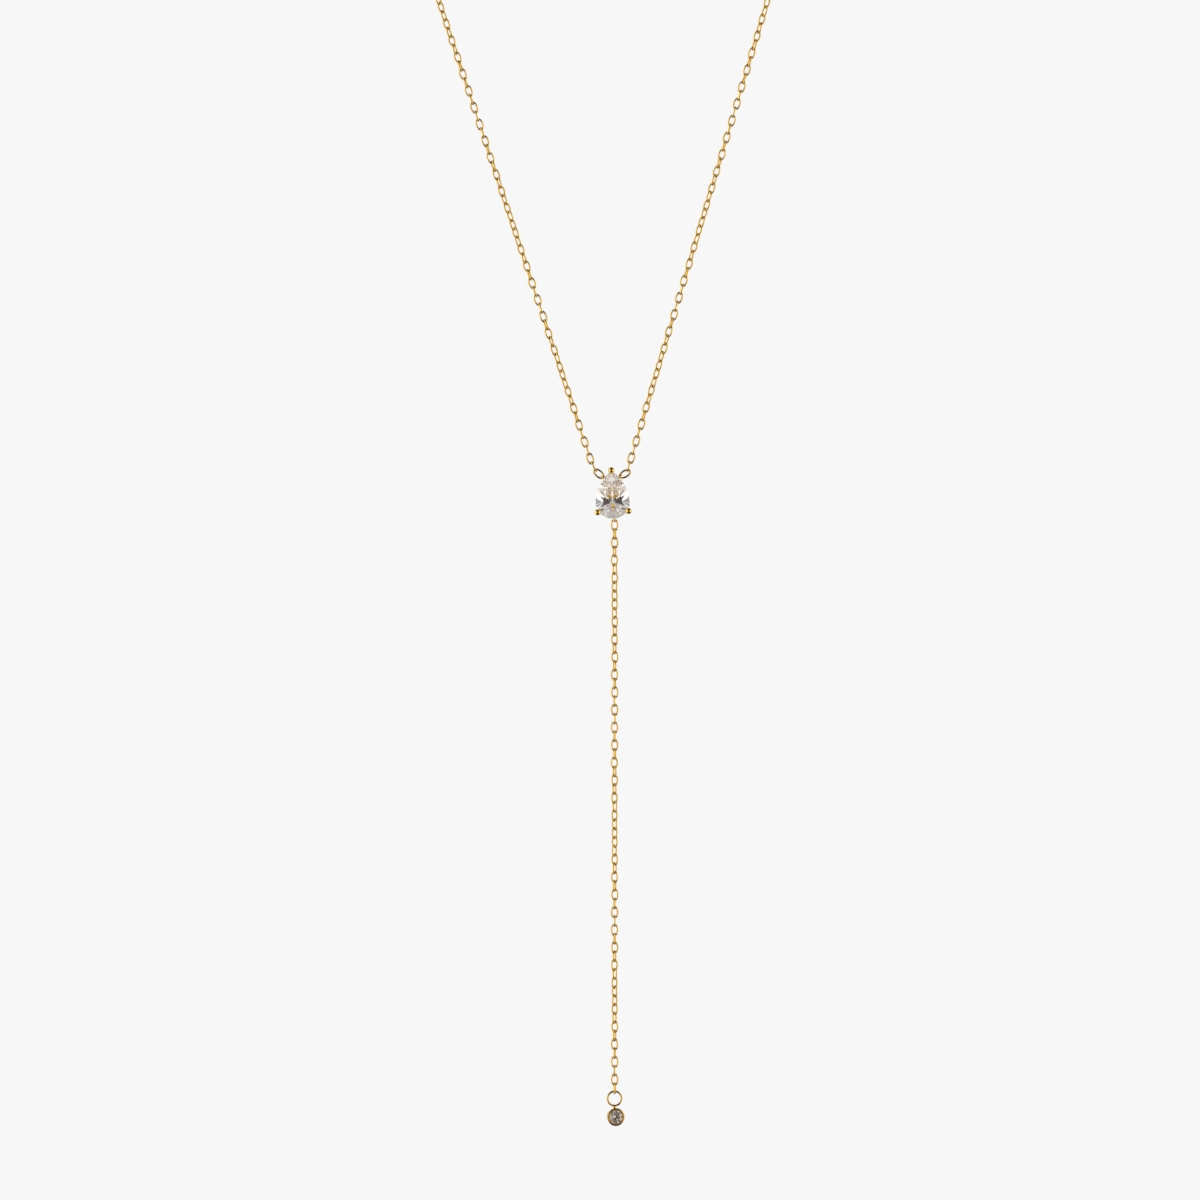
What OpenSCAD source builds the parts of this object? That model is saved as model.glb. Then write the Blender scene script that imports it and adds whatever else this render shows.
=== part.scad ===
// Y necklace: a fine cable chain that meets at a pear stone, with a long drop that ends in a small round stone.
// Millimetres, +Z up, worn: the front faces -Y. The origin is the middle of the clasp at the nape.
// Left and right are the viewer's.

/* [Chain] */
// Distance from the middle of one link to the middle of the next
link_pitch = 1.3; // [1.15:0.05:1.5]
// Thickness of the link wire
link_wire = 0.27; // [0.21:0.01:0.28]
// Width of a link over its two sides
link_width = 1.16; // [1.1:0.02:1.3]
// Play between two wires that hang in each other
link_play = 0.11; // [0.1:0.01:0.15]
// Links on each side of the neck before the nape stretch begins
neck_links = 58; // [40:1:60]
// Links between the pear and the round drop
drop_links = 65; // [20:1:75]

/* [Strands] */
// How far the front hangs forward of the nape
front_reach = 92; // [85:1:100]
// How far the widest line of the pear hangs below the nape
pear_height = 122.4; // [110:0.1:130]
// How far the middle of the pear lies to the left of the origin
pear_aside = 0.2; // [0:0.01:1]
// Lean of the left strand from upright, in degrees
left_lean = 18.3; // [14:0.1:22]
// Lean of the right strand from upright, in degrees
right_lean = 16.6; // [14:0.1:22]
// Lean of the link that leaves the left end ring, in degrees
left_first_lean = 28; // [18:1:30]
// Lean of the link that leaves the right end ring, in degrees
right_first_lean = 15; // [14:1:26]
// Lean of the left end ring, in degrees
left_ring_lean = 50; // [40:1:60]
// Lean of the right end ring, in degrees
right_ring_lean = 59; // [45:1:62]
// Length of an end ring
end_ring_length = 2; // [1.8:0.02:2.2]
// Width of an end ring
end_ring_width = 1.18; // [1.14:0.02:1.4]
// Diameter of the tube that stands for the nape stretch
nape_d = 1.2; // [1:0.05:1.5]

/* [Pear stone] */
// Length of the pear from its tip to its round end
pear_length = 7; // [6:0.1:8]
// Width of the pear
pear_width = 5; // [4.4:0.1:5.6]
// Distance from the widest line to the round end
pear_belly = 2.2; // [2:0.05:2.6]
// Radius of the blunted tip
pear_tip_r = 0.25; // [0.2:0.05:0.4]
// Height of the crown above the girdle
pear_crown = 0.85; // [0.6:0.05:1]
// Depth of the pavilion below the girdle
pear_pavilion = 2.1; // [1.7:0.05:2.4]
// Thickness of the girdle
pear_girdle = 0.14; // [0.08:0.02:0.2]
// How far the point of the pavilion lies above the widest line
culet_up = 0.3; // [0:0.05:0.5]
// How far the tip of the pear leans to the left, in degrees
pear_lean = 2.5; // [0:0.5:6]

/* [Pear setting] */
// Thickness of the gallery rail, seen from the front
rail_wall = 0.3; // [0.24:0.02:0.36]
// Height of the gallery rail, front to back
rail_height = 0.4; // [0.3:0.02:0.5]
// How far the middle of the rail lies inside the stone's outline
rail_inset = 0.3; // [0.26:0.02:0.36]
// Depth of the middle of the rail behind the girdle
rail_depth = 0.86; // [0.8:0.02:1.1]
// Thickness of a prong
prong_d = 0.4; // [0.3:0.02:0.46]
// Gap between a prong and the girdle
prong_gap = 0.06; // [0.04:0.01:0.1]
// Radius of the bend in a prong
prong_bend = 0.3; // [0.26:0.02:0.36]
// Diameter of the ball that ends a prong
ball_d = 0.9; // [0.8:0.02:1]
// How far the middle of a ball lies outside the stone's outline
ball_out = 0.14; // [0.1:0.01:0.2]
// Height of the middle of a ball above the girdle
ball_rise = 0.62; // [0.6:0.01:0.7]
// Thickness of the eye wire
eye_wire = 0.22; // [0.18:0.02:0.26]
// Clearance round a link's wire in an eye
eye_slack = 0.16; // [0.14:0.01:0.2]
// Direction that a shoulder eye faces, in degrees above level
eye_angle = 40; // [34:1:46]
// Direction that the bottom eye faces, in degrees below level
bottom_eye_angle = 86.5; // [84:0.5:90]
// How far the bottom eye is drawn in towards the rail
bottom_eye_in = 0.05; // [0:0.01:0.06]
// Direction that a side prong faces, in degrees below level
prong_angle = 33; // [24:1:42]

/* [Round drop] */
// Diameter of the round stone
round_d = 2.1; // [1.8:0.05:2.4]
// Height of its crown
round_crown = 0.34; // [0.26:0.02:0.4]
// Depth of its pavilion
round_pavilion = 0.9; // [0.7:0.02:0.94]
// Thickness of its girdle
round_girdle = 0.06; // [0.04:0.01:0.08]
// Gap round the stone in its cup
round_gap = 0.05; // [0.04:0.01:0.08]
// Thickness of the cup's wall round the stone
cup_wall = 0.25; // [0.2:0.01:0.35]
// Depth of the cup, front to back
cup_depth = 1.3; // [1.25:0.05:1.6]
// How much smaller the cup's radius is at its back
cup_taper = 0.24; // [0:0.02:0.24]
// Gap between the lip and the crown below it
lip_gap = 0.12; // [0.1:0.01:0.16]
// How far the seat reaches in under the edge of the stone
seat_ledge = 0.12; // [0.08:0.01:0.16]
// Gap between the seat and the edge of the stone above it
seat_gap = 0.18; // [0.16:0.01:0.22]
// How far the lip reaches in over the edge of the stone
lip_over = 0.05; // [0.03:0.01:0.08]
// Thickness of the lip
lip_depth = 0.14; // [0.1:0.01:0.18]
// Width of the bevel on the cup's edges
cup_bevel = 0.08; // [0.04:0.01:0.12]
// Outer diameter of the ring on the cup
drop_ring_d = 2.4; // [2:0.04:2.8]
// Thickness of the ring's wire
drop_ring_wire = 0.28; // [0.19:0.01:0.3]
// Gap between the ring and the cup, which the solder fills
solder_gap = 0.14; // [0.06:0.02:0.2]
// Width of the solder
solder_d = 0.5; // [0.36:0.02:0.6]
// How far the round drop is turned to the right, in degrees
drop_turn = 15; // [0:1:30]

/* [Clasp] */
// Diameter of the clasp over its tube
clasp_d = 5.6; // [5:0.1:7]
// Thickness of the clasp's tube
clasp_tube = 1.2; // [1:0.05:1.4]
// Diameter of the clasp's eye through the middle of its wire
clasp_eye_d = 1.1; // [0.9:0.05:1.3]
// Thickness of the wire of the clasp's eye
clasp_eye_wire = 0.3; // [0.24:0.02:0.36]
// Diameter of the clasp ring through the middle of its wire
clasp_ring_d = 2.6; // [2.4:0.1:3.4]
// Thickness of the wire of the clasp ring
clasp_ring_wire = 0.4; // [0.3:0.02:0.5]

/* [Hidden] */
$fn = 48;

// Side of the necklace: -1 is the left, 1 is the right
left = -1;
right = 1;

// Chosen route of the nape stretch on the left, after the last neck link: x, y, z.
// Each side rises from its strand in its own way, and the right then mirrors the left.
left_rise = [[-30, -92, -35], [-36, -88, -26]];
right_rise = [[26, -92, -35], [33, -89, -25]];
nape_route = [[-43, -78, -19], [-48, -62, -14], [-50, -45, -10], [-47, -29, -7],
              [-38, -14, -4], [-25, -5, -1], [-12, -1, 0]];
// Rings of the tube between one point of the route and the next
route_steps = 4;
// Sides of the tube
tube_sides = 8;

// Slow turn of the chain about its own length, over and above a quarter turn a link.
// Share of the length, share of the whole turn.
neck_twist = [[0, 0], [0.07, 0], [0.21, 0.2], [0.36, 0.4], [0.51, 0.6], [0.74, 0.8], [1, 1]];
drop_twist = [[0, 0], [0.03, 0], [0.14, 0.16], [0.33, 0.32], [0.54, 0.47], [0.69, 0.63],
              [0.82, 0.79], [0.95, 0.95], [1, 1]];
neck_turns = 225;
// The drop ends square to the ring of the round drop, whatever its number of links
drop_turns = drop_turn + 180 + 90 * (drop_links % 2);

// Facets of both stones, as shares of the stone's own sizes
table_share = 0.56;
star_share = 0.45;
lower_share = 0.7;
culet_share = 0.03;
mains = 8;
// Points along each of the two flanks, round the tip and round the belly of the pear
flank_steps = 18;
tip_steps = 6;
belly_steps = 28;
// Points round the round stone
round_steps = 64;

// Distance between the middles of two wires that hang in each other
function seat(a, b) = (a + b) / 2 + link_play;
// From the middle of a link to the middle of its wire at one end
link_length = link_pitch + 2 * link_wire + link_play;
link_reach = (link_length - link_wire) / 2;
ring_reach = (end_ring_length - link_wire) / 2;
// Radius of an end ring's round end, through the middle of its wire
ring_bend = (end_ring_width - link_wire) / 2;

// Directions in the upright front plane, as x and z
function heading(side, lean) = [side * sin(lean), cos(lean)];
function turned(p, a) = [p.x * cos(a) - p.y * sin(a), p.x * sin(a) + p.y * cos(a)];
function unit(v) = v / norm(v);

// Shape of the pear: two long arcs, a small arc round the tip, and a rounder belly
pear_tip = pear_length - pear_belly;
tip_y = pear_tip - pear_tip_r;
flank_r = (pow(pear_width / 2, 2) + pow(tip_y, 2) - pow(pear_tip_r, 2)) / (pear_width - 2 * pear_tip_r);
flank_x = flank_r - pear_width / 2;
// Outline of the pear, drawn in by an inset, from the right round the tip and back along the belly.
// An inset of more than the tip's radius leaves a sharp tip.
function pear_outline(inset) =
    let (r = flank_r - inset, top = acos(flank_x / (flank_r - max(inset, pear_tip_r))),
         tip = pear_tip_r - inset, turn = (180 - 2 * top) / tip_steps)
    concat(
        [for (i = [0 : flank_steps]) [r * cos(top * i / flank_steps) - flank_x,
                                      r * sin(top * i / flank_steps)]],
        tip > 0
            ? [for (i = [1 : tip_steps]) [tip * cos(top + turn * i), tip_y + tip * sin(top + turn * i)]]
            : [],
        [for (i = [flank_steps - 1 : -1 : 0]) [flank_x - r * cos(top * i / flank_steps),
                                               r * sin(top * i / flank_steps)]],
        [for (i = [1 : belly_steps - 1]) [-(pear_width / 2 - inset) * cos(180 * i / belly_steps),
                                          -(pear_belly - inset) * sin(180 * i / belly_steps)]]);
function circle_outline(r) =
    [for (i = [0 : round_steps - 1]) r * [cos(360 * i / round_steps), sin(360 * i / round_steps)]];
// How far an outline reaches in a direction
function reach(outline, a) = max([for (p = outline) p * [cos(a), sin(a)]]);
// Point of the flank or belly that faces a direction, on the right side
function flank_point(a) = [flank_r * cos(a) - flank_x, flank_r * sin(a)];
function belly_point(a) =
    let (w = pear_width / 2, k = norm([w * cos(a), pear_belly * sin(a)]))
    [w * w * cos(a), pear_belly * pear_belly * sin(a)] / k;

// Eyes of the pear setting, seen from the front with the pear upright
eye_r = (link_wire + eye_wire) / 2 + eye_slack;
eye_hole_out = eye_r - rail_inset;
shoulder_eye = flank_point(eye_angle) + eye_hole_out * [cos(eye_angle), sin(eye_angle)];
bottom_eye = belly_point(-bottom_eye_angle)
             + (eye_hole_out - bottom_eye_in) * [cos(bottom_eye_angle), -sin(bottom_eye_angle)];
// Place of a point of the pear in the front plane, as x and z
pear_at = [-pear_aside, -pear_height];
function placed(p) = pear_at + turned(p, pear_lean);
// How far a wire that pulls on an eye lies past the middle of the eye
eye_pull = eye_r - seat(eye_wire, link_wire);

// Middle of the end ring and of each link of a neck strand
function eye_of(side) = placed([side * shoulder_eye.x, shoulder_eye.y]);
function ring_lean(side) = side == left ? left_ring_lean : right_ring_lean;
function first_lean(side) = side == left ? left_first_lean : right_first_lean;
function strand_lean(side) = side == left ? left_lean : right_lean;
function ring_at(side) = eye_of(side) + (eye_pull + ring_reach) * heading(side, ring_lean(side));
function first_at(side) =
    ring_at(side) + (ring_reach - ring_bend) * heading(side, ring_lean(side))
    + (ring_bend - seat(link_wire, link_wire) + link_reach) * heading(side, first_lean(side));
function link_at(side, k) =
    k == 1 ? first_at(side)
    : first_at(side) + link_reach * heading(side, first_lean(side))
      + ((k - 1) * link_pitch - link_reach) * heading(side, strand_lean(side));

// Drop chain: the first link hangs in the bottom eye
drop_top = placed(bottom_eye) - [0, eye_pull + link_reach];
drop_ring_r = (drop_ring_d - drop_ring_wire) / 2;
drop_ring_at = drop_top - [0, (drop_links - 1) * link_pitch + link_reach
                              - seat(link_wire, drop_ring_wire) + drop_ring_r];

// Cup of the round drop: radii, and depths behind its front face
stone_r = round_d / 2;
cup_r = stone_r + round_gap + cup_wall;
cup_back_r = cup_r - cup_taper;
cup_at = drop_ring_at - [0, drop_ring_d / 2 + solder_gap + cup_r];
lip_r = stone_r - lip_over;
girdle_depth = lip_depth + lip_gap + round_girdle / 2;
seat_r = stone_r - seat_ledge;
seat_depth = girdle_depth + round_girdle / 2 + seat_gap;
ring_depth = cup_depth - solder_d / 2 - cup_bevel;

// Clasp: the middles of its eye and of the ring hooked into it, along x
clasp_r = (clasp_d - clasp_tube) / 2;
clasp_eye_x = -clasp_d / 2 - clasp_eye_d / 2 + (clasp_tube - clasp_eye_wire) / 4;
clasp_ring_x = clasp_r - seat(clasp_tube, clasp_ring_wire) + clasp_ring_d / 2;
clasp_end_left = clasp_eye_x - (clasp_eye_d + clasp_eye_wire) / 2 - link_play;
clasp_end_right = clasp_ring_x + (clasp_ring_d + clasp_ring_wire) / 2 + link_play;

gold = "goldenrod";
gem = "aliceblue";

// An upright oval ring, flat to the front: two half rings joined by two straight sides
module oval_ring(length, width, wire) {
    bend = (width - wire) / 2;
    straight = length - width;
    for (end = [0, 180])
        rotate([0, end, 0])
            translate([0, 0, straight / 2])
                rotate([90, 0, 0])
                    rotate_extrude(angle = 180)
                        translate([bend, 0]) circle(d = wire);
    for (x = [-bend, bend])
        translate([x, 0, -straight / 2]) cylinder(d = wire, h = straight);
}

// A round ring of wire, flat to the front
module round_ring(r, wire)
    rotate([90, 0, 0])
        rotate_extrude()
            translate([r, 0]) circle(d = wire);

// Puts a thing at a point of the front plane
module in_front(p) translate([p.x, -front_reach, p.y]) children();

// One strand beside the neck. Each link stands a quarter turn and a little more from the last.
module neck_strand(side)
    for (k = [1 : neck_links])
        in_front(link_at(side, k))
            rotate([0, side * (k == 1 ? first_lean(side) : strand_lean(side)), 0])
                rotate([0, 0, 90 * k + side * neck_turns * lookup(k / neck_links, neck_twist)])
                    oval_ring(link_length, link_width, link_wire);

module end_ring(side)
    in_front(ring_at(side))
        rotate([0, side * ring_lean(side), 0])
            oval_ring(end_ring_length, end_ring_width, link_wire);

// Everything behind a plane. The plane crosses two lines that face one way: each is a distance out and a height.
module behind(azimuth, a, b) {
    way = b.y > a.y ? [b.y - a.y, a.x - b.x] : [a.y - b.y, b.x - a.x];
    facing = unit(way);
    block = 4 * pear_length;
    rotate([0, 0, azimuth])
        rotate([0, atan2(facing.x, facing.y), 0])
            translate([0, 0, facing * a - block / 2])
                cube(block, center = true);
}

// One row of facets: from a share of the outline at one height to a share at another
module facet_row(outline, first, count, a, b)
    intersection_for (i = [0 : count - 1])
        let (azimuth = first + 360 * i / count, r = reach(outline, azimuth))
            behind(azimuth, [a.x * r, a.y], [b.x * r, b.y]);

// A brilliant of any outline, table up: 8 mains, 8 stars and 16 halves above, 8 mains, 16 halves and
// a small culet below
module brilliant(outline, crown, girdle, pavilion) {
    step = 360 / mains;
    half = cos(step / 2);
    rim = [1, girdle / 2];
    keel = [1, -girdle / 2];
    star_foot = [(1 - (1 - table_share) * star_share) / half, girdle / 2 + star_share * crown];
    lower_foot = [(1 - lower_share) / half, -girdle / 2 - lower_share * pavilion];
    quarter = cos(step / 4);
    intersection() {
        translate([0, 0, -girdle / 2 - pavilion])
            linear_extrude(crown + girdle + pavilion) polygon(outline);
        facet_row(outline, 90, mains, rim, [table_share, girdle / 2 + crown]);
        facet_row(outline, 90 + step / 2, mains, star_foot, [table_share * half, girdle / 2 + crown]);
        facet_row(outline, 90 + step / 4, 2 * mains, rim, [star_foot.x * quarter, star_foot.y]);
        facet_row(outline, 90, mains, keel, [culet_share, -girdle / 2 - pavilion]);
        facet_row(outline, 90 + step / 4, 2 * mains, keel, [lower_foot.x * quarter, lower_foot.y]);
    }
}

// Turns what lies flat with its front up into the front plane, with its back edge at the strands
module facing_front(depth)
    translate([0, -depth, 0])
        rotate([90, 0, 0])
            children();

module in_pear()
    in_front(pear_at)
        rotate([0, -pear_lean, 0])
            facing_front(rail_depth)
                children();

// A prong outside the outline: a leg from the rail, a bend, an upright and a ball over the stone's edge
module prong(p, a) {
    out = prong_d / 2 + prong_gap;
    slant = 45;
    leg_top = out - prong_bend * (1 - cos(slant));
    leg = (leg_top + rail_inset) / sin(slant);
    bend_depth = rail_depth - prong_bend * sin(slant) - leg * cos(slant);
    translate([p.x, p.y, 0])
        rotate([0, 0, a]) {
            translate([out, 0, -bend_depth]) cylinder(d = prong_d, h = bend_depth + ball_rise);
            translate([out - prong_bend, 0, -bend_depth])
                rotate([90, 0, 0])
                    rotate([0, 0, -slant])
                        rotate_extrude(angle = slant)
                            translate([prong_bend, 0]) circle(d = prong_d);
            translate([leg_top, 0, -bend_depth - prong_bend * sin(slant)])
                rotate([0, 180 + slant, 0]) cylinder(d = prong_d, h = leg);
            translate([ball_out, 0, ball_rise]) sphere(d = ball_d);
        }
}

// An eye on the rail, edge on to the front
module eye(p, a)
    translate([p.x, p.y, -rail_depth])
        rotate([0, 0, a])
            round_ring(eye_r, eye_wire);

module pear_setting()
    color(gold)
        in_pear() {
            translate([0, 0, -rail_depth - rail_height / 2])
                linear_extrude(rail_height)
                    difference() {
                        polygon(pear_outline(rail_inset - rail_wall / 2));
                        polygon(pear_outline(rail_inset + rail_wall / 2));
                    }
            prong([0, pear_tip], 90);
            for (side = [left, right]) {
                foot = belly_point(-prong_angle);
                prong([side * foot.x, foot.y], 90 - side * (90 + prong_angle));
                eye([side * shoulder_eye.x, shoulder_eye.y], 90 - side * (90 - eye_angle));
            }
            eye(bottom_eye, -bottom_eye_angle);
        }

module pear_stone()
    color(gem)
        in_pear()
            translate([0, culet_up, 0])
                brilliant([for (p = pear_outline(0)) p - [0, culet_up]],
                          pear_crown, pear_girdle, pear_pavilion);

module left_end_ring() color(gold) end_ring(left);
module right_end_ring() color(gold) end_ring(right);
module left_neck_chain() color(gold) neck_strand(left);
module right_neck_chain() color(gold) neck_strand(right);

module drop_chain()
    color(gold)
        for (k = [0 : drop_links - 1])
            in_front(drop_top - [0, k * link_pitch])
                rotate([0, 0, 90 * k + drop_turns * lookup(k / drop_links, drop_twist)])
                    oval_ring(link_length, link_width, link_wire);

// Where the round drop hangs: turned about the upright through its ring
module in_drop(p)
    in_front(p)
        rotate([0, 0, drop_turn])
            children();

module bezel_setting()
    color(gold) {
        in_drop(drop_ring_at) round_ring(drop_ring_r, drop_ring_wire);
        in_drop(cup_at) {
            facing_front(ring_depth)
                rotate_extrude()
                    polygon([[lip_r, 0], [cup_r - cup_bevel, 0], [cup_r, -cup_bevel],
                             [cup_back_r, cup_bevel - cup_depth],
                             [cup_back_r - cup_bevel, -cup_depth],
                             [seat_r, -cup_depth], [seat_r, -seat_depth],
                             [stone_r + round_gap, -seat_depth], [stone_r + round_gap, -lip_depth],
                             [lip_r, -lip_depth]]);
            translate([0, 0, cup_back_r - cup_wall / 2])
                cylinder(d = solder_d, h = cup_taper + (cup_wall + drop_ring_wire) / 2 + solder_gap);
        }
    }

module bezel_stone()
    color(gem)
        in_drop(cup_at)
            facing_front(ring_depth)
                translate([0, 0, -girdle_depth])
                    brilliant(circle_outline(stone_r), round_crown, round_girdle, round_pavilion);

// Smooth path through the points of a route
function on_path(p, i, t) =
    let (a = p[max(i - 1, 0)], b = p[i], c = p[i + 1], d = p[min(i + 2, len(p) - 1)])
    b + t / 2 * (c - a + t * (2 * a - 5 * b + 4 * c - d + t * (3 * b - a - 3 * c + d)));
function path(route) =
    concat([for (i = [0 : len(route) - 2], j = [0 : route_steps - 1]) on_path(route, i, j / route_steps)],
           [route[len(route) - 1]]);

// Route of the nape stretch, from just past the last neck link to just before the clasp
function nape_points(side) =
    let (along = heading(side, strand_lean(side)),
         start = link_at(side, neck_links) + (link_length / 2 + link_play) * along)
    concat([[start.x, -front_reach, start.y]],
           side == left ? left_rise : right_rise,
           [for (p = nape_route) [-side * p.x, p.y, p.z]],
           [[side == left ? clasp_end_left : clasp_end_right, 0, 0]]);

// A round tube swept along a path, closed at both ends
module tube(path, d) {
    last = len(path) - 1;
    rings = [for (i = [0 : last])
        let (along = unit(path[min(i + 1, last)] - path[max(i - 1, 0)]),
             across = unit(cross(along, [0, 0, 1])),
             over = cross(across, along))
        for (j = [0 : tube_sides - 1])
            path[i] + d / 2 * (across * cos(360 * j / tube_sides) + over * sin(360 * j / tube_sides))];
    walls = [for (i = [0 : last - 1], j = [0 : tube_sides - 1])
        let (next = (j + 1) % tube_sides)
        for (f = [[0, 1, 2], [0, 2, 3]])
            let (quad = [i * tube_sides + j, i * tube_sides + next,
                         (i + 1) * tube_sides + next, (i + 1) * tube_sides + j])
            [for (k = f) quad[k]]];
    ends = [[for (j = [tube_sides - 1 : -1 : 0]) j],
            [for (j = [0 : tube_sides - 1]) last * tube_sides + j]];
    polyhedron(rings, concat(walls, ends));
}

module left_nape_chain() color(gold) tube(path(nape_points(left)), nape_d);
module right_nape_chain() color(gold) tube(path(nape_points(right)), nape_d);

module clasp()
    color(gold) {
        round_ring(clasp_r, clasp_tube);
        translate([clasp_eye_x, 0, 0])
            rotate([90, 0, 0])
                round_ring(clasp_eye_d / 2, clasp_eye_wire);
    }

module clasp_ring()
    color(gold)
        translate([clasp_ring_x, 0, 0])
            rotate([90, 0, 0])
                round_ring(clasp_ring_d / 2, clasp_ring_wire);

pear_setting();
pear_stone();
left_end_ring();
right_end_ring();
left_neck_chain();
right_neck_chain();
left_nape_chain();
right_nape_chain();
clasp();
clasp_ring();
drop_chain();
bezel_setting();
bezel_stone();
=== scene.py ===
import math

import bmesh
import bpy
from mathutils import Matrix, Vector


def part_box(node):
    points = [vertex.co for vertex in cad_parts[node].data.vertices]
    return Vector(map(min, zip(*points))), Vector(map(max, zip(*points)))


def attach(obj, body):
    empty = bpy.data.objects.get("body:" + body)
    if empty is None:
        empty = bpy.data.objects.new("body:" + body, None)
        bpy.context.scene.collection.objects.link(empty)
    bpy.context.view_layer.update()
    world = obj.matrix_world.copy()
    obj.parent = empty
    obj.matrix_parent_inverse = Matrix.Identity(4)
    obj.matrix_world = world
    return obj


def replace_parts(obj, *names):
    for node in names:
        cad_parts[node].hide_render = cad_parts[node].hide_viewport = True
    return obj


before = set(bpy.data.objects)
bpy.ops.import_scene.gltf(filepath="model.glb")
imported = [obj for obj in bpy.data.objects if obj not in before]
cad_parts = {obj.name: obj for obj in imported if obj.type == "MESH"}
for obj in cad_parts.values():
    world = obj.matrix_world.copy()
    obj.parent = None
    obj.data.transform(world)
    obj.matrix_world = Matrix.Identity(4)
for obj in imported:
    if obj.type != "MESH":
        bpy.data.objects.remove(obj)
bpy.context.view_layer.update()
mm = 0.001

# The pear's setting. A gallery rail, three prongs that end in balls and three eyes of wire are soldered
# into one basket, polished bright and plated with yellow gold.


class Signal:
    """One socket of a shader. Arithmetic on it adds Math nodes, and node() adds any other kind of node."""

    def __init__(self, tree, socket=None):
        self.tree = tree
        self.socket = socket

    def node(self, kind, settings=None, inputs=None, output=0):
        """Adds a node: its settings, then the values or links of its inputs. Gives one of its outputs."""
        made = self.tree.nodes.new(kind)
        for key, value in (settings or {}).items():
            setattr(made, key, value)
        for key, value in (inputs or {}).items():
            if isinstance(value, Signal):
                self.tree.links.new(value.socket, made.inputs[key])
            else:
                made.inputs[key].default_value = value
        return Signal(self.tree, made.outputs[output] if made.outputs else None)

    def other(self, output):
        """Another output of the same node."""
        return Signal(self.tree, self.socket.node.outputs[output])

    def math(self, operation, *values):
        return self.node("ShaderNodeMath", {"operation": operation}, dict(enumerate(values)))

    def rise(self, low, high):
        """0 below low and 1 above high, with a soft step between."""
        ends = {"Value": self, "From Min": low, "From Max": high}
        return self.node("ShaderNodeMapRange", {"interpolation_type": "SMOOTHSTEP"}, ends)

    def __add__(self, other):
        return self.math("ADD", self, other)

    def __sub__(self, other):
        return self.math("SUBTRACT", self, other)

    def __rsub__(self, other):
        return self.math("SUBTRACT", other, self)

    def __mul__(self, other):
        return self.math("MULTIPLY", self, other)

    def __neg__(self):
        return self.math("MULTIPLY", self, -1)

    def __abs__(self):
        return self.math("ABSOLUTE", self)

    __radd__ = __add__
    __rmul__ = __mul__


def blank(data):
    """The empty shader tree of a new material or world."""
    data.use_nodes = True
    data.node_tree.nodes.clear()
    return Signal(data.node_tree)


def between(signal, share, first, second):
    """A colour that goes from the first to the second as the share goes from 0 to 1."""
    ends = {0: share, 6: (*first, 1), 7: (*second, 1)}
    return signal.node("ShaderNodeMix", {"data_type": "RGBA"}, ends, 2)


def gold(name, tone, deep_tone, roughness, grain):
    """Polished gold plate. Its tone drifts over some millimetres, and faint marks of handling roughen it."""
    material = bpy.data.materials.new(name)
    tree = blank(material)
    place = tree.node("ShaderNodeTexCoord", output="Object")
    drift = tree.node("ShaderNodeTexNoise", inputs={"Vector": place, "Scale": 180.0, "Detail": 2.0})
    marks = tree.node("ShaderNodeTexNoise", inputs={"Vector": place, "Scale": grain, "Detail": 3.0})
    bump = tree.node("ShaderNodeBump", inputs={"Height": marks, "Strength": 0.05, "Distance": 0.02 * mm})
    metal = tree.node("ShaderNodeBsdfPrincipled", inputs={
        "Base Color": between(tree, drift, tone, deep_tone),
        "Metallic": 1.0,
        "Roughness": roughness + 0.08 * marks,
        "Normal": bump,
    })
    tree.node("ShaderNodeOutputMaterial", inputs={"Surface": metal})
    return material


def finish(node, material):
    """Gives a CAD node its material."""
    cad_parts[node].data.materials.clear()
    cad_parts[node].data.materials.append(material)


cast_gold = gold("cast_gold", (0.93, 0.63, 0.14), (0.86, 0.54, 0.1), 0.08, 2500.0)
finish("pear_setting", cast_gold)

# The pear stone: colourless cubic zirconia, cut as a pear brilliant and polished. It sits in the basket
# with its edge under the three balls.


def cut_stone(name, clear, faint):
    """Polished clear stone with a faint cloud in it."""
    material = bpy.data.materials.new(name)
    tree = blank(material)
    place = tree.node("ShaderNodeTexCoord", output="Object")
    cloud = tree.node("ShaderNodeTexNoise", inputs={"Vector": place, "Scale": 300.0})
    stone = tree.node("ShaderNodeBsdfPrincipled", inputs={
        "Base Color": between(tree, cloud, clear, faint),
        "Roughness": 0.0,
        "Transmission Weight": 1.0,
        "IOR": 2.16,
    })
    tree.node("ShaderNodeOutputMaterial", inputs={"Surface": stone})
    return material


zirconia = cut_stone("clear_zirconia", (1.0, 0.99, 0.98), (0.99, 0.97, 0.96))
finish("pear_stone", zirconia)

# The end rings: two ovals of the chain's own wire, one in each shoulder eye of the basket. They carry the
# strands.
link_wire = 0.27 * mm
end_ring_length = 2.0 * mm
end_ring_width = 1.18 * mm
# Radius of a ring's round ends, as a share of half its width
end_ring_roundness = 0.72
ring_lean = {"left": math.radians(50), "right": math.radians(59)}
front_y = -92 * mm
sign = {"left": -1, "right": 1}
wire_gold = gold("wire_gold", (0.93, 0.64, 0.15), (0.87, 0.57, 0.11), 0.1, 4000.0)


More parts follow.
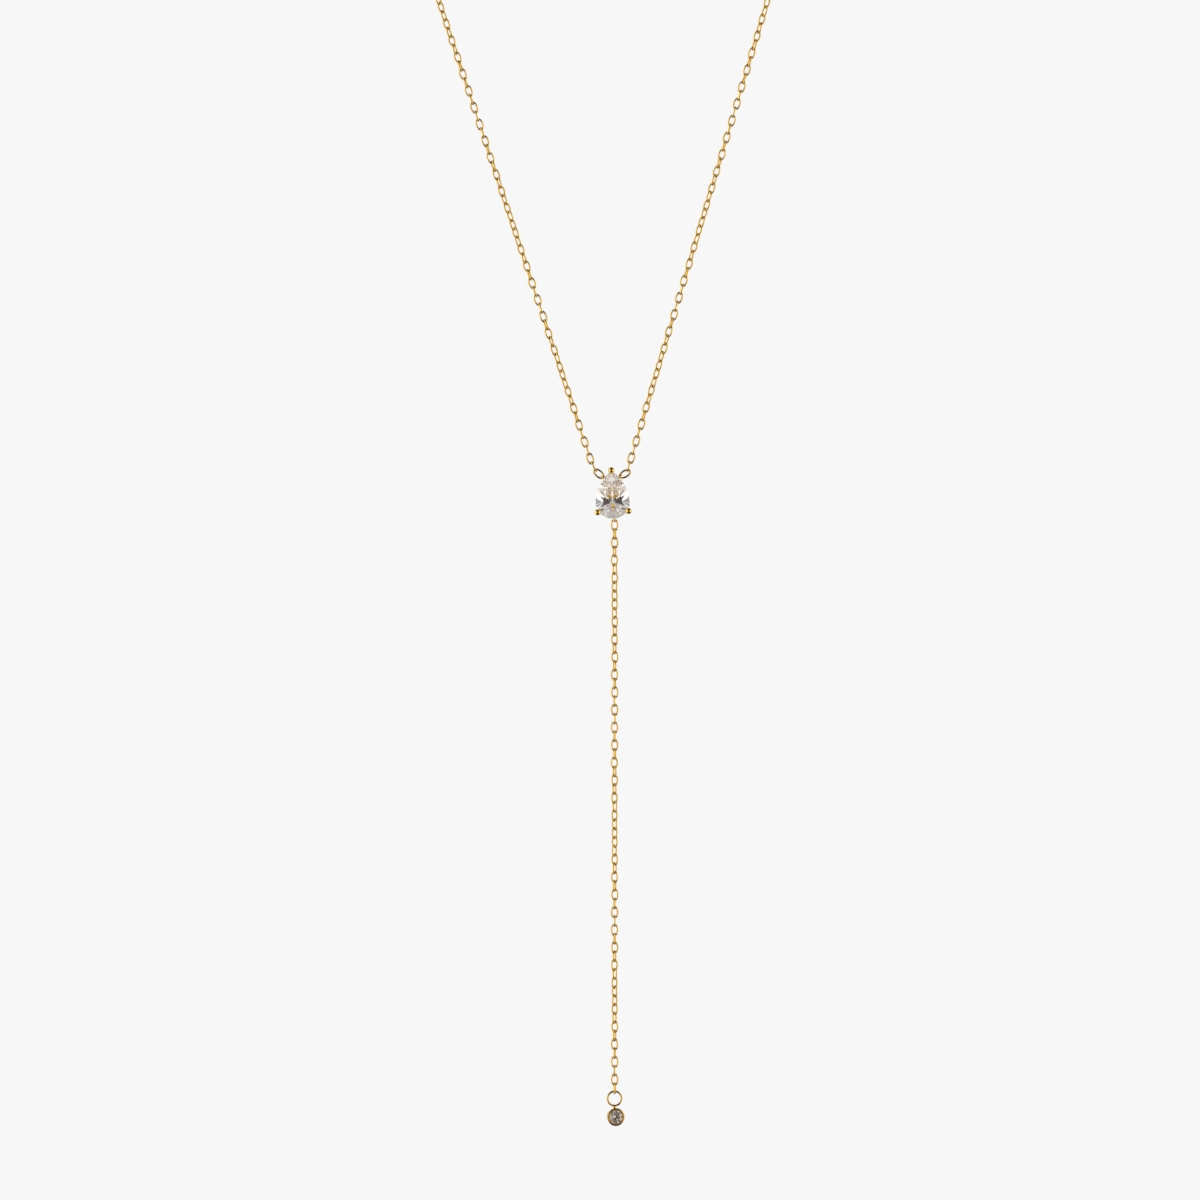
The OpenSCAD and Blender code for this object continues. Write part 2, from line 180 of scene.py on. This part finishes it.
def add_oval(bm, length, width, roundness, side_steps, end_steps, wire_sides):
    """Adds an upright oval of wire about the origin, flat to the front. Its sides bow out, and the radius
    of its round ends is a share of half the width."""
    end = (length - link_wire) / 2
    side = (width - link_wire) / 2
    end_r = roundness * side
    side_r = (side ** 2 + (end - end_r) ** 2 - end_r ** 2) / 2 / (side - end_r)
    bow = math.atan2(end - end_r, side_r - side)
    arcs = [(side - side_r, 0, bow, side_steps), (0, end - end_r, math.pi - 2 * bow, end_steps),
            (side_r - side, 0, bow, side_steps)]
    bmesh.ops.create_circle(bm, segments=wire_sides, radius=link_wire / 2)
    bmesh.ops.translate(bm, verts=bm.verts, vec=(side, 0, 0))
    section = bm.edges[:]
    for x, z, angle, steps in arcs:
        bent = bmesh.ops.spin(bm, geom=section, cent=(x, 0, z), axis=(0, -1, 0), angle=angle, steps=steps)
        section = [e for e in bent["geom_last"] if isinstance(e, bmesh.types.BMEdge)]
    half = bmesh.ops.duplicate(bm, geom=bm.verts[:] + bm.edges[:] + bm.faces[:])["geom"]
    half_verts = [v for v in half if isinstance(v, bmesh.types.BMVert)]
    bmesh.ops.rotate(bm, verts=half_verts, matrix=Matrix.Rotation(math.pi, 3, "Y"))
    bmesh.ops.remove_doubles(bm, verts=bm.verts, dist=0.001 * mm)


def add_piece(name, bm, material):
    """Makes a smooth piece of gold work of a bmesh. It rides with the whole necklace."""
    bmesh.ops.recalc_face_normals(bm, faces=bm.faces)
    for face in bm.faces:
        face.smooth = True
    mesh = bpy.data.meshes.new(name)
    bm.to_mesh(mesh)
    bm.free()
    mesh.materials.append(material)
    piece = bpy.data.objects.new(name, mesh)
    bpy.context.scene.collection.objects.link(piece)
    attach(piece, "root")
    return piece


def middle_of(node):
    low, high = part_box(node)
    return (low + high) / 2


for side in sign:
    bm = bmesh.new()
    add_oval(bm, end_ring_length, end_ring_width, end_ring_roundness,
             side_steps=6, end_steps=10, wire_sides=12)
    lean = Matrix.Rotation(sign[side] * ring_lean[side], 4, "Y")
    bmesh.ops.transform(bm, matrix=Matrix.Translation(middle_of(side + "_end_ring")) @ lean, verts=bm.verts)
    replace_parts(add_piece(side + "_oval_ring", bm, wire_gold), side + "_end_ring")

# The two strands beside the neck, as far as the front view shows them. Each link is round brass wire, bent
# into an oval, soldered shut and gold plated. It stands about a quarter turn from the last and hangs in its
# ends. The strands hang in straight lines and twist slowly about their own length.
link_pitch = 1.3 * mm
link_width = 1.16 * mm
link_play = 0.11 * mm
link_roundness = 0.8
link_length = link_pitch + 2 * link_wire + link_play
# From the middle of a link to the middle of the wire at its end
link_reach = (link_length - link_wire) / 2
neck_links = 58
neck_turn = math.radians(225)
neck_twist = [(0, 0), (0.07, 0), (0.21, 0.2), (0.36, 0.4), (0.51, 0.6), (0.74, 0.8), (1, 1)]
strand_lean = {"left": math.radians(18.3), "right": math.radians(16.6)}
first_lean = {"left": math.radians(28), "right": math.radians(15)}


def string_of_links(name, places):
    """One body of links, each put where its matrix says. The pull of the chain takes up their play."""
    link = bpy.data.meshes.new("link")
    pattern = bmesh.new()
    add_oval(pattern, link_length - link_play, link_width, link_roundness,
             side_steps=2, end_steps=5, wire_sides=5)
    pattern.to_mesh(link)
    pattern.free()
    bm = bmesh.new()
    for place in places:
        count = len(bm.verts)
        bm.from_mesh(link)
        bm.verts.ensure_lookup_table()
        bmesh.ops.transform(bm, matrix=place, verts=bm.verts[count:])
    bpy.data.meshes.remove(link)
    return add_piece(name, bm, wire_gold)


def lookup(x, table):
    """Value of a table at x, in straight lines between its rows."""
    for (x0, y0), (x1, y1) in zip(table, table[1:]):
        if x <= x1:
            return y0 + (y1 - y0) * (x - x0) / (x1 - x0)
    return table[-1][1]


def heading(side, lean):
    """Direction in the front plane that leans outwards from upright."""
    return Vector((sign[side] * math.sin(lean), 0, math.cos(lean)))


def link_at(side, k):
    """Middle of a link of a strand, counted from the pear."""
    ring_bend = (end_ring_width - link_wire) / 2
    ring_reach = (end_ring_length - link_wire) / 2
    first = middle_of(side + "_end_ring") + (ring_reach - ring_bend) * heading(side, ring_lean[side])
    first += (ring_bend - link_wire - link_play + link_reach) * heading(side, first_lean[side])
    if k == 1:
        return first
    bent = first + link_reach * heading(side, first_lean[side])
    return bent + ((k - 1) * link_pitch - link_reach) * heading(side, strand_lean[side])


def neck_place(side, k):
    lean = first_lean[side] if k == 1 else strand_lean[side]
    roll = k * math.pi / 2 + sign[side] * neck_turn * lookup(k / neck_links, neck_twist)
    upright = Matrix.Rotation(sign[side] * lean, 4, "Y") @ Matrix.Rotation(roll, 4, "Z")
    return Matrix.Translation(link_at(side, k)) @ upright


for side in sign:
    strand = string_of_links(side + "_neck_links", [neck_place(side, k) for k in range(1, neck_links + 1)])
    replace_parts(strand, side + "_neck_chain")

# The rest of each strand: the same links, which run plainly round the neck. They carry on the twist of
# the strand in front, and the last one hangs in the clasp's eye or in the clasp ring.
nape_rise = {"left": [(-30, -92, -35), (-36, -88, -26)], "right": [(26, -92, -35), (33, -89, -25)]}
nape_route = [(43, -78, -19), (48, -62, -14), (50, -45, -10), (47, -29, -7), (38, -14, -4), (25, -5, -1),
              (12, -1, 0)]
route_steps = 40
# The wire that the last link hangs on: how thick it is, and where its middle lies along x
hooked_wire = {"left": 0.3 * mm, "right": 0.4 * mm}
hooked_x = {"left": -3.675 * mm, "right": 3.89 * mm}


def on_path(points, i, t):
    """Smooth path through points: the place a share t of the way from point i to the next."""
    a = points[max(i - 1, 0)]
    b, c = points[i], points[i + 1]
    d = points[min(i + 2, len(points) - 1)]
    return b + t / 2 * (c - a + t * (2 * a - 5 * b + 4 * c - d + t * (3 * b - a - 3 * c + d)))


def evenly_along(line, spacing):
    """Points along a broken line, spaced evenly by about the spacing, with one at each end."""
    lengths = [0.0]
    for a, b in zip(line, line[1:]):
        lengths.append(lengths[-1] + (b - a).length)
    count = round(lengths[-1] / spacing)
    spots = []
    at = 0
    for k in range(count + 1):
        target = lengths[-1] * k / count
        while at < len(line) - 2 and lengths[at + 1] < target:
            at += 1
        share = (target - lengths[at]) / (lengths[at + 1] - lengths[at])
        spots.append(line[at].lerp(line[at + 1], share))
    return spots


def nape_line(side):
    """Middles of the links, from the strand's last one in front to the one at the clasp."""
    last_link = link_at(side, neck_links)
    tube_start = last_link + (link_length / 2 + link_play) * heading(side, strand_lean[side])
    hooked = link_reach - (hooked_wire[side] + link_wire) / 2 - link_play
    end = Vector((hooked_x[side] + sign[side] * hooked, 0, 0))
    route = [last_link, tube_start] + [Vector(p) * mm for p in nape_rise[side]]
    route += [Vector((sign[side] * x, y, z)) * mm for x, y, z in nape_route] + [end]
    steps = [on_path(route, i, j / route_steps) for i in range(len(route) - 1) for j in range(route_steps)]
    return evenly_along(steps + [end], link_pitch)


def nape_places(side):
    spots = nape_line(side)
    last = len(spots) - 1
    across = neck_place(side, neck_links).to_3x3().col[0].copy()
    frames = []
    for k, spot in enumerate(spots):
        along = (spots[min(k + 1, last)] - spots[max(k - 1, 0)]).normalized()
        across = (across - across.dot(along) * along).normalized()
        frames.append((spot, along, across.copy()))
    # The last link stands upright in a level ring; the turn that this takes is spread over the strand
    natural = Matrix.Rotation(last * math.pi / 2, 3, along) @ across
    upright = Vector((0, 0, 1))
    miss = math.atan2(along.dot(natural.cross(upright)), natural.dot(upright))
    miss = (miss + math.pi / 2) % math.pi - math.pi / 2
    places = []
    for k, (spot, along, across) in enumerate(frames):
        width = Matrix.Rotation(k * math.pi / 2 + miss * k / last, 3, along) @ across
        turn = Matrix((width, along.cross(width), along)).transposed().to_4x4()
        places.append(Matrix.Translation(spot) @ turn)
    return places[1:]


for side in sign:
    strand = string_of_links(side + "_nape_links", nape_places(side))
    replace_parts(strand, side + "_nape_chain")

# The clasp at the nape and the jump ring that hooks into it: plain closed rings of brass tube and wire,
# plated.
for node in ("clasp", "clasp_ring"):
    finish(node, cast_gold)

# The drop: one strand of the same chain of gold-plated brass wire. Its first link hangs in the basket's
# bottom eye, and its last one carries the ring of the round drop.
drop_links = 65
drop_turn = math.radians(15)
# The chain ends square to the ring of the round drop
chain_turn = drop_turn + math.pi * (1 + 0.5 * (drop_links % 2))
drop_twist = [(0, 0), (0.03, 0), (0.14, 0.16), (0.33, 0.32), (0.54, 0.47), (0.69, 0.63), (0.82, 0.79),
              (0.95, 0.95), (1, 1)]
# The uppermost links stand askew in each other, less and less down the drop
askew = math.radians(18)
askew_links = 20
low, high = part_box("drop_chain")
drop_top = Vector(((low.x + high.x) / 2, front_y, high.z - link_length / 2))


def drop_place(k):
    roll = k * math.pi / 2 + chain_turn * lookup(k / drop_links, drop_twist)
    roll += (k % 2) * max(0, askew * (1 - k / askew_links))
    return Matrix.Translation(drop_top - Vector((0, 0, k * link_pitch))) @ Matrix.Rotation(roll, 4, "Z")


strand = string_of_links("drop_links", [drop_place(k) for k in range(drop_links)])
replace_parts(strand, "drop_chain")

# The round drop's setting: a cup with its lip rubbed over the stone's edge, and a jump ring soldered on
# its wall. It hangs turned a little to the right. Heights in the cup are measured from its front face.
drop_ring_d = 2.4 * mm
drop_ring_wire = 0.28 * mm
cup_r = 1.35 * mm
cup_depth = 1.3 * mm
cup_back_r = 1.11 * mm
cup_inner_r = 1.1 * mm
lip_r = 1.0 * mm
lip_depth = 0.14 * mm
seat_r = 0.93 * mm
seat_depth = 0.5 * mm
lip_round = 0.19 * mm
lip_edge = 0.07 * mm
back_round = 0.08 * mm
solder_gap = 0.14 * mm
solder_r = 0.25 * mm
# The ring stands this far behind the cup's front face
ring_depth = cup_depth - solder_r - back_round
round_steps = 72


def add_cup(bm):
    """Adds the cup, open to the front at height 0, and rounds its lip and its back edge."""
    corners = [(lip_r, 0), (cup_r, 0), (cup_back_r, -cup_depth), (seat_r, -cup_depth), (seat_r, -seat_depth),
               (cup_inner_r, -seat_depth), (cup_inner_r, -lip_depth), (lip_r, -lip_depth)]
    points = [bm.verts.new((r, 0, z)) for r, z in corners]
    outline = [bm.edges.new((a, b)) for a, b in zip(points, points[1:] + points[:1])]
    bmesh.ops.spin(bm, geom=points + outline, cent=(0, 0, 0), axis=(0, 0, 1), angle=2 * math.pi,
                   steps=round_steps, use_merge=True)
    bmesh.ops.recalc_face_normals(bm, faces=bm.faces)
    for r, z, width in ((cup_r, 0, lip_round), (lip_r, 0, lip_edge), (cup_back_r, -cup_depth, back_round)):
        circle = [e for e in bm.edges
                  if all(math.hypot(v.co.xy.length - r, v.co.z - z) < 0.01 * mm for v in e.verts)]
        bmesh.ops.bevel(bm, geom=circle, offset=width, offset_type="OFFSET", segments=6, profile=0.5,
                        affect="EDGES", material=-1)


def add_solder(bm):
    """Adds the waisted bead of solder between the cup's wall and the ring, upright on the origin."""
    waist = [(1.5, -0.34), (1.1, -0.12), (0.86, 0.02), (0.84, 0.12), (0.92, 0.2), (0.5, 0.28), (0.0, 0.3)]
    points = [bm.verts.new((r * solder_r, 0, z * mm)) for r, z in waist]
    outline = [bm.edges.new((a, b)) for a, b in zip(points, points[1:])]
    bmesh.ops.spin(bm, geom=points + outline, cent=(0, 0, 0), axis=(0, 0, 1), angle=2 * math.pi, steps=24,
                   use_merge=True)
    bmesh.ops.remove_doubles(bm, verts=bm.verts, dist=0.001 * mm)
    rim = [e for e in bm.edges if e.is_boundary]
    bmesh.ops.contextual_create(bm, geom=rim)
    bmesh.ops.scale(bm, verts=bm.verts, vec=(1, 0.8, 1))


def joined(parts):
    """One bmesh of several shells, each made by its own function and put where its matrix says."""
    whole = bmesh.new()
    for make, place in parts:
        part = bmesh.new()
        make(part)
        bmesh.ops.recalc_face_normals(part, faces=part.faces)
        bmesh.ops.transform(part, matrix=place, verts=part.verts)
        shell = bpy.data.meshes.new("shell")
        part.to_mesh(shell)
        part.free()
        whole.from_mesh(shell)
        bpy.data.meshes.remove(shell)
    return whole


def add_round_ring(bm):
    """Adds the ring, flat to the front about the origin."""
    wire = bmesh.ops.create_circle(bm, segments=14, radius=drop_ring_wire / 2)["verts"]
    bmesh.ops.rotate(bm, verts=wire, matrix=Matrix.Rotation(math.pi / 2, 3, "X"))
    bmesh.ops.translate(bm, verts=wire, vec=((drop_ring_d - drop_ring_wire) / 2, 0, 0))
    bmesh.ops.spin(bm, geom=bm.edges[:], cent=(0, 0, 0), axis=(0, 0, 1), angle=2 * math.pi,
                   steps=round_steps, use_merge=True)
    bmesh.ops.rotate(bm, verts=bm.verts, matrix=Matrix.Rotation(math.pi / 2, 3, "X"))


ring_middle = (drop_links - 1) * link_pitch + link_reach - (link_wire + drop_ring_wire) / 2 - link_play
ring_middle += (drop_ring_d - drop_ring_wire) / 2
ring_at = Matrix.Translation(drop_top - Vector((0, 0, ring_middle))) @ Matrix.Rotation(drop_turn, 4, "Z")
cup_at = ring_at @ Matrix.Translation((0, 0, -drop_ring_d / 2 - solder_gap - cup_r))
facing_front = Matrix.Translation((0, -ring_depth, 0)) @ Matrix.Rotation(math.pi / 2, 4, "X")
bezel = joined([(add_cup, cup_at @ facing_front), (add_solder, cup_at @ Matrix.Translation((0, 0, cup_r))),
                (add_round_ring, ring_at)])
# The cup and its ring get a darker copy of the chain's gold: painted shade that darkens the whole setting,
# not a different metal or finish
shaded_gold = gold("shaded_gold", (0.8, 0.51, 0.12), (0.68, 0.42, 0.08), 0.14, 2500.0)
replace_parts(add_piece("bezel_cup_and_ring", bezel, shaded_gold), "bezel_setting")

# The round stone in the cup: cubic zirconia with a faint smoky cast, cut as a round brilliant and
# polished. The cup's lip holds it by its edge.
finish("bezel_stone", cut_stone("smoky_zirconia", (0.93, 0.91, 0.88), (0.82, 0.79, 0.74)))

# The studio: a plain pale floor well below, and pale light all round. The metal reflects a dim upright
# band in front, where the camera stands, and a bright lobe of light on each side of it. The stones see a
# round dim spot in front and dimmer light from both sides.
pale = (0.93, 0.93, 0.93)
camera_data = bpy.data.cameras.new("camera")
camera_data.lens = 200
camera_data.sensor_width = 36
camera_data.clip_end = 50
camera = bpy.data.objects.new("camera", camera_data)
bpy.context.scene.collection.objects.link(camera)
camera.location = (-2.08 * mm, front_y - 0.9849, -136.6 * mm)
camera.rotation_euler = (math.pi / 2, 0, 0)
bpy.context.scene.camera = camera
bpy.context.scene.view_settings.view_transform = "Standard"
# A cut stone sends light round inside itself many times
bpy.context.scene.cycles.max_bounces = 24
bpy.context.scene.cycles.glossy_bounces = 20
bpy.context.scene.cycles.transmission_bounces = 24

warm = (1, 0.7, 0.4)
neutral = (1, 0.96, 0.93)
dim_light = 0.07
metal_light = 0.6
# Where the dim band stands: its middle lies a little to the right
band_middle = 0.18
lobe_light = {"left": 1.7, "right": 1.35}
stone_light = 1.14
spot_drop = math.radians(8)
world = bpy.data.worlds.new("studio")
bpy.context.scene.world = world
tree = blank(world)
x = tree.node("ShaderNodeSeparateXYZ", inputs={0: tree.node("ShaderNodeTexCoord", output="Generated")})
y = x.other("Y")
z = x.other("Z")
beside = (abs(x - band_middle) - 0.5 * abs(z)).rise(0.22, 0.42)
metal_share = tree.math("MAXIMUM", beside, y.rise(0.5, 0.9))
lobes = x.rise(0.66, 0.92) * lobe_light["right"] + (-x).rise(0.66, 0.92) * lobe_light["left"]
round_metal = dim_light + (metal_light - dim_light) * metal_share + lobes * (-y).rise(-0.3, 0.1)
ahead = -y * math.cos(spot_drop) - z * math.sin(spot_drop)
above = (0.55 * z - abs(x)).rise(-0.3, 0.0) * (-y).rise(-0.2, 0.2)
round_stone = 0.02 + stone_light * (1 - ahead.rise(0.83, 0.92)) * (1 - 0.58 * above)
round_stone *= 1 - 0.5 * abs(x).rise(0.45, 0.65)
rays = tree.node("ShaderNodeLightPath", output="Is Camera Ray")
on_paper = rays.other("Is Diffuse Ray")
in_stone = tree.math("MINIMUM", rays.other("Transmission Depth"), 1)
light = tree.node("ShaderNodeBackground", inputs={
    "Color": between(tree, tree.math("MAXIMUM", in_stone, metal_share), warm, neutral),
    "Strength": in_stone * round_stone + (1 - in_stone) * round_metal,
})
paper_light = tree.node("ShaderNodeBackground", inputs={"Color": (1, 1, 1, 1), "Strength": 1.0})
light = tree.node("ShaderNodeMixShader", inputs={0: on_paper, 1: light, 2: paper_light})
backdrop = tree.node("ShaderNodeBackground", inputs={"Color": (*pale, 1)})
seen = tree.node("ShaderNodeMixShader", inputs={0: rays, 1: light, 2: backdrop})
tree.node("ShaderNodeOutputWorld", inputs={"Surface": seen})

paper = bpy.data.materials.new("paper")
tree = blank(paper)
matt = tree.node("ShaderNodeBsdfPrincipled", inputs={"Base Color": (*pale, 1), "Roughness": 0.9})
tree.node("ShaderNodeOutputMaterial", inputs={"Surface": matt})
bm = bmesh.new()
bmesh.ops.create_circle(bm, cap_ends=True, segments=64, radius=3.5)
bmesh.ops.translate(bm, verts=bm.verts, vec=(0, 0, -0.6))
floor_mesh = bpy.data.meshes.new("floor")
bm.to_mesh(floor_mesh)
bm.free()
floor_mesh.materials.append(paper)
floor = bpy.data.objects.new("floor", floor_mesh)
bpy.context.scene.collection.objects.link(floor)
floor.visible_glossy = False
floor.visible_transmission = False
